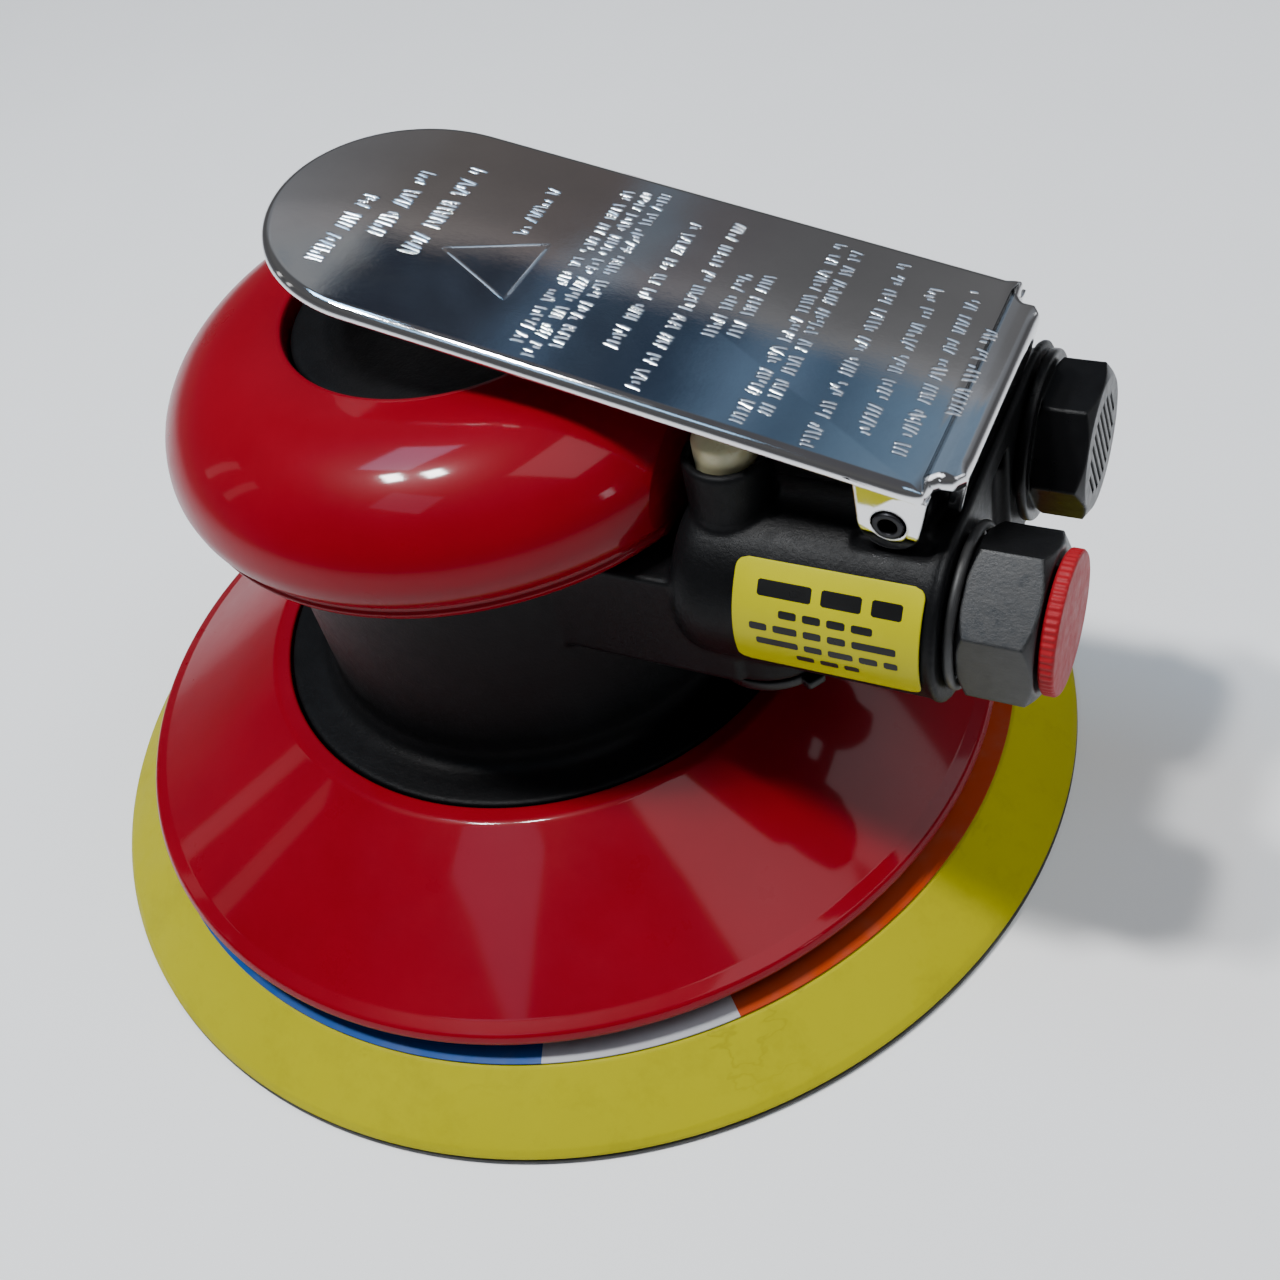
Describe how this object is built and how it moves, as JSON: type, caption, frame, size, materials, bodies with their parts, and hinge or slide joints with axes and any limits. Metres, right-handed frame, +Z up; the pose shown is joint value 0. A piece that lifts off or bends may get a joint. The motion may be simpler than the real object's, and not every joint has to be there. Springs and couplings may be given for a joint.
{
  "type": "palm orbital sander",
  "caption": "Air-driven palm orbital sander: round tapered pad on an eccentric spindle, red shroud and palm grip, chromed throttle lever, side air inlet and exhaust muffler.",
  "frame": {"origin": "on the motor axis, in the plane of the sanding face that the tool rests on", "axes": "+Z up along the motor axis, +X towards the air inlet and exhaust at the rear, the inlet barrel on the -Y side and the exhaust on the +Y side"},
  "size_m": [0.1541, 0.15, 0.0948],
  "materials": {
    "vinyl": "matte",
    "foam": "matte",
    "backing": "matte",
    "decal": "satin print",
    "steel": "ground",
    "dark_steel": "black oxide",
    "chrome": "polished",
    "brass": "turned",
    "aluminium": "machined",
    "anodised": "black anodised",
    "composite": "fine grain",
    "red_rubber": "glossy",
    "red_plastic": "satin",
    "cream": "satin",
    "nitrile": "satin",
    "phenolic": "matte",
    "felt": "felt",
    "label": "gloss film"
  },
  "bodies": {
    "tool_body": {"housing": "composite", "skirt": "red_rubber", "grip": "red_rubber", "barrel_label": "label", "lever_pin": "dark_steel", "stem_bushing": "brass", "stem_o_ring": "nitrile", "valve_seat": "nitrile", "valve_spring": "steel", "inlet_bushing": "anodised", "inlet_o_ring": "nitrile", "inlet_screen": "brass", "muffler_body": "anodised", "muffler_felt": "felt", "motor_liner": "steel", "lower_end_plate": "aluminium", "upper_end_plate": "aluminium", "motor_dowel": "steel", "lower_bearing_outer_ring": "steel", "upper_bearing_outer_ring": "steel", "wave_washer": "steel", "motor_lock_ring": "dark_steel"},
    "lever": {"throttle_lever": "chrome"},
    "stem": {"valve_stem": "cream"},
    "tip": {"tip_valve": "brass"},
    "regulator": {"speed_regulator": "composite", "regulator_o_ring": "nitrile"},
    "plug": {"inlet_plug": "red_plastic"},
    "rotor_assembly": {"shaft_balancer": "steel", "rotor_key": "dark_steel", "rotor": "steel", "rotor_vane_1": "phenolic", "rotor_vane_2": "phenolic", "rotor_vane_3": "phenolic", "rotor_vane_4": "phenolic", "rotor_vane_5": "phenolic", "lower_bearing_inner_ring": "steel", "upper_bearing_inner_ring": "steel", "spindle_bearing_outer_ring": "steel"},
    "lower_cage": {"lower_bearing_cage": "steel"},
    "upper_cage": {"upper_bearing_cage": "steel"},
    "pad_assembly": {"pad_vinyl_face": "vinyl", "pad_foam": "foam", "pad_backing_plate": "backing", "pad_decal": "decal", "pad_stud": "steel", "spindle": "dark_steel", "spindle_snap_ring": "steel", "spindle_bearing_inner_ring": "steel"},
    "spindle_cage": {"spindle_bearing_cage": "steel"}
  },
  "joints": [
    {"name": "lever_press", "type": "hinge", "parent": "tool_body", "child": "lever", "pos_m": [0.0619, 0, 0.072], "axis": [0, -1, 0], "range_deg": [0, 5], "stiffness_Nm_per_rad": 1, "springref_deg": -5.73},
    {"name": "stem_slide", "type": "slide", "parent": "tool_body", "child": "stem", "axis": [0, 0, -1], "range_m": [0, 0.0018]},
    {"name": "tip_valve_tilt", "type": "hinge", "parent": "tool_body", "child": "tip", "pos_m": [0.0541, -0.0145, 0.063], "axis": [0, -1, 0], "range_deg": [0, 9]},
    {"name": "regulator_turn", "type": "hinge", "parent": "tool_body", "child": "regulator", "pos_m": [0.0445, -0.0145, 0.047], "axis": [0, 0, 1], "range_deg": [-40, 40]},
    {"name": "plug_pull", "type": "slide", "parent": "tool_body", "child": "plug", "axis": [1, 0, 0], "range_m": [0, 0.016]},
    {"name": "rotor_spin", "type": "hinge", "parent": "tool_body", "child": "rotor_assembly", "pos_m": [0, 0, 0.054], "axis": [0, 0, 1], "continuous": true},
    {"name": "lower_cage_spin", "type": "hinge", "parent": "tool_body", "child": "lower_cage", "pos_m": [0, 0, 0.038], "axis": [0, 0, 1], "continuous": true},
    {"name": "upper_cage_spin", "type": "hinge", "parent": "tool_body", "child": "upper_cage", "pos_m": [0, 0, 0.07], "axis": [0, 0, 1], "continuous": true},
    {"name": "pad_spin", "type": "hinge", "parent": "rotor_assembly", "child": "pad_assembly", "pos_m": [0.00085, 0.00085, 0.02], "axis": [0, 0, 1], "continuous": true},
    {"name": "spindle_cage_spin", "type": "hinge", "parent": "rotor_assembly", "child": "spindle_cage", "pos_m": [0.00085, 0.00085, 0.0218], "axis": [0, 0, 1], "continuous": true}
  ],
  "couplings": [
    {"joint": "stem_slide", "follows": "lever_press", "m_per_rad": 0.0194},
    {"joint": "tip_valve_tilt", "follows": "lever_press", "ratio": 1.67},
    {"joint": "lower_cage_spin", "follows": "rotor_spin", "ratio": 0.4},
    {"joint": "upper_cage_spin", "follows": "rotor_spin", "ratio": 0.4},
    {"joint": "spindle_cage_spin", "follows": "pad_spin", "ratio": 0.4}
  ]
}
